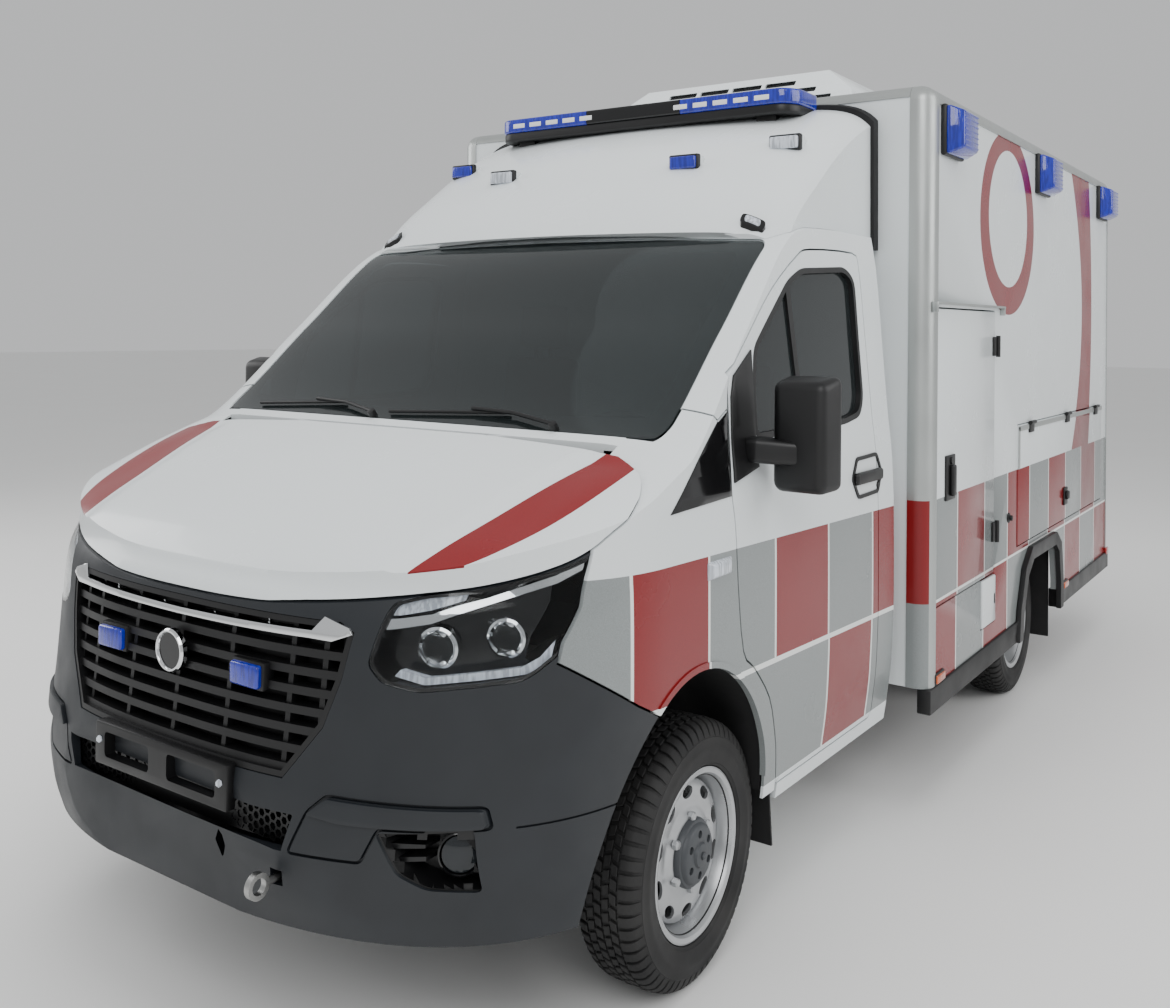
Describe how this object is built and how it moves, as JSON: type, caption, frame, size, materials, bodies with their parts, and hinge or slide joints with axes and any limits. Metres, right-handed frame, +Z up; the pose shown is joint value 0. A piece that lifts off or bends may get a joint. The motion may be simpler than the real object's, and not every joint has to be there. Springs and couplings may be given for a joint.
{
  "type": "ambulance",
  "caption": "Chassis-cab ambulance with a square patient box, steered front wheels, twin rear wheels, hinged doors, bonnet, lockers and roof beacons.",
  "frame": {"origin": "on the ground at the centre of the whole vehicle's outline", "axes": "-Y forward, +X the vehicle's left side, +Z up"},
  "size_m": [2.4386, 6, 2.894],
  "materials": {
    "white_paint": "gloss",
    "dark_plastic": "textured",
    "black_plastic": "satin",
    "gloss_black": "gloss",
    "chassis_paint": "satin",
    "engine_metal": "rough",
    "bare_steel": "satin",
    "wheel_silver": "satin",
    "aluminium_trim": "satin",
    "rubber_black": "matte",
    "tyre_rubber": "matte",
    "cab_glass": "tinted",
    "lamp_glass": "clear",
    "blue_lens": "gloss",
    "red_lens": "gloss",
    "seat_fabric": "woven",
    "interior_plastic": "grained"
  },
  "bodies": {
    "vehicle": {"chassis_frame": "chassis_paint", "engine_block": "engine_metal", "front_axle": "chassis_paint", "rear_axle": "chassis_paint", "leaf_springs": "chassis_paint", "driveline": "bare_steel", "exhaust": "bare_steel", "fuel_tank": "chassis_paint", "cab_shell": "white_paint", "windscreen": "cab_glass", "front_bumper": "dark_plastic", "grille": "gloss_black", "headlamps": "lamp_glass", "wings": "white_paint", "tow_eye": "bare_steel", "roof_fairing": "white_paint", "light_bar": "blue_lens", "box_shell": "white_paint", "box_profiles": "aluminium_trim", "box_skirt": "rubber_black", "locker_liners": "aluminium_trim", "roof_unit": "white_paint", "side_beacons": "blue_lens", "warning_lamps": "blue_lens", "tail_lamps": "red_lens", "rear_step": "chassis_paint", "mudflaps": "rubber_black", "dashboard": "interior_plastic", "steering_wheel": "interior_plastic", "seats": "seat_fabric"},
    "steer_left": {"knuckle_left": "engine_metal"},
    "steer_right": {"knuckle_right": "engine_metal"},
    "wheel_front_left": {"tyre_front_left": "tyre_rubber", "rim_front_left": "wheel_silver"},
    "wheel_front_right": {"tyre_front_right": "tyre_rubber", "rim_front_right": "wheel_silver"},
    "wheels_rear_left": {"tyres_rear_left": "tyre_rubber", "rims_rear_left": "wheel_silver"},
    "wheels_rear_right": {"tyres_rear_right": "tyre_rubber", "rims_rear_right": "wheel_silver"},
    "door_left": {"cab_door_left": "white_paint", "cab_glass_left": "cab_glass", "mirror_left": "black_plastic"},
    "door_right": {"cab_door_right": "white_paint", "cab_glass_right": "cab_glass", "mirror_right": "black_plastic"},
    "bonnet": {"bonnet": "white_paint"},
    "locker_door": {"locker_door": "white_paint"},
    "side_flap": {"side_flap": "white_paint"},
    "filler_flap": {"filler_flap": "white_paint"},
    "side_door": {"side_door": "white_paint", "side_window": "cab_glass"},
    "rear_door_left": {"rear_door_left": "white_paint", "rear_window_left": "cab_glass"},
    "rear_door_right": {"rear_door_right": "white_paint", "rear_window_right": "cab_glass"}
  },
  "joints": [
    {"name": "steering_left", "type": "hinge", "parent": "vehicle", "child": "steer_left", "pos_m": [0.83, -1.95, 0.348], "axis": [0, 0, 1], "range_deg": [-30, 30]},
    {"name": "steering_right", "type": "hinge", "parent": "vehicle", "child": "steer_right", "pos_m": [-0.83, -1.95, 0.348], "axis": [0, 0, 1], "range_deg": [-30, 30]},
    {"name": "spin_front_left", "type": "hinge", "parent": "steer_left", "child": "wheel_front_left", "pos_m": [0.875, -1.95, 0.348], "axis": [1, 0, 0], "continuous": true},
    {"name": "spin_front_right", "type": "hinge", "parent": "steer_right", "child": "wheel_front_right", "pos_m": [-0.875, -1.95, 0.348], "axis": [1, 0, 0], "continuous": true},
    {"name": "spin_rear_left", "type": "hinge", "parent": "vehicle", "child": "wheels_rear_left", "pos_m": [0.905, 1.195, 0.348], "axis": [1, 0, 0], "continuous": true},
    {"name": "spin_rear_right", "type": "hinge", "parent": "vehicle", "child": "wheels_rear_right", "pos_m": [-0.905, 1.195, 0.348], "axis": [1, 0, 0], "continuous": true},
    {"name": "cab_door_left_hinge", "type": "hinge", "parent": "vehicle", "child": "door_left", "pos_m": [1.026, -1.853, 1.2], "axis": [0, 0, -1], "range_deg": [0, 68]},
    {"name": "cab_door_right_hinge", "type": "hinge", "parent": "vehicle", "child": "door_right", "pos_m": [-1.026, -1.853, 1.2], "axis": [0, 0, 1], "range_deg": [0, 68]},
    {"name": "bonnet_hinge", "type": "hinge", "parent": "vehicle", "child": "bonnet", "pos_m": [0, -2.07, 1.452], "axis": [-1, 0, 0], "range_deg": [0, 55]},
    {"name": "locker_door_hinge", "type": "hinge", "parent": "vehicle", "child": "locker_door", "pos_m": [1.122, 0.367, 1.28], "axis": [0, 0, 1], "range_deg": [0, 165]},
    {"name": "side_flap_hinge", "type": "hinge", "parent": "vehicle", "child": "side_flap", "pos_m": [1.12, 1.71, 1.33], "axis": [0, 1, 0], "range_deg": [-100, 0]},
    {"name": "filler_flap_hinge", "type": "hinge", "parent": "vehicle", "child": "filler_flap", "pos_m": [1.117, 0.189, 0.625], "axis": [0, 0, -1], "range_deg": [0, 110]},
    {"name": "side_door_hinge", "type": "hinge", "parent": "vehicle", "child": "side_door", "pos_m": [-1.12, -0.394, 1.55], "axis": [0, 0, 1], "range_deg": [0, 100]},
    {"name": "rear_door_left_hinge", "type": "hinge", "parent": "vehicle", "child": "rear_door_left", "pos_m": [0.754, 2.882, 1.55], "axis": [0, 0, -1], "range_deg": [0, 165]},
    {"name": "rear_door_right_hinge", "type": "hinge", "parent": "vehicle", "child": "rear_door_right", "pos_m": [-0.754, 2.882, 1.55], "axis": [0, 0, 1], "range_deg": [0, 165]}
  ],
  "couplings": [
    {"joint": "steering_right", "follows": "steering_left", "ratio": 1}
  ]
}
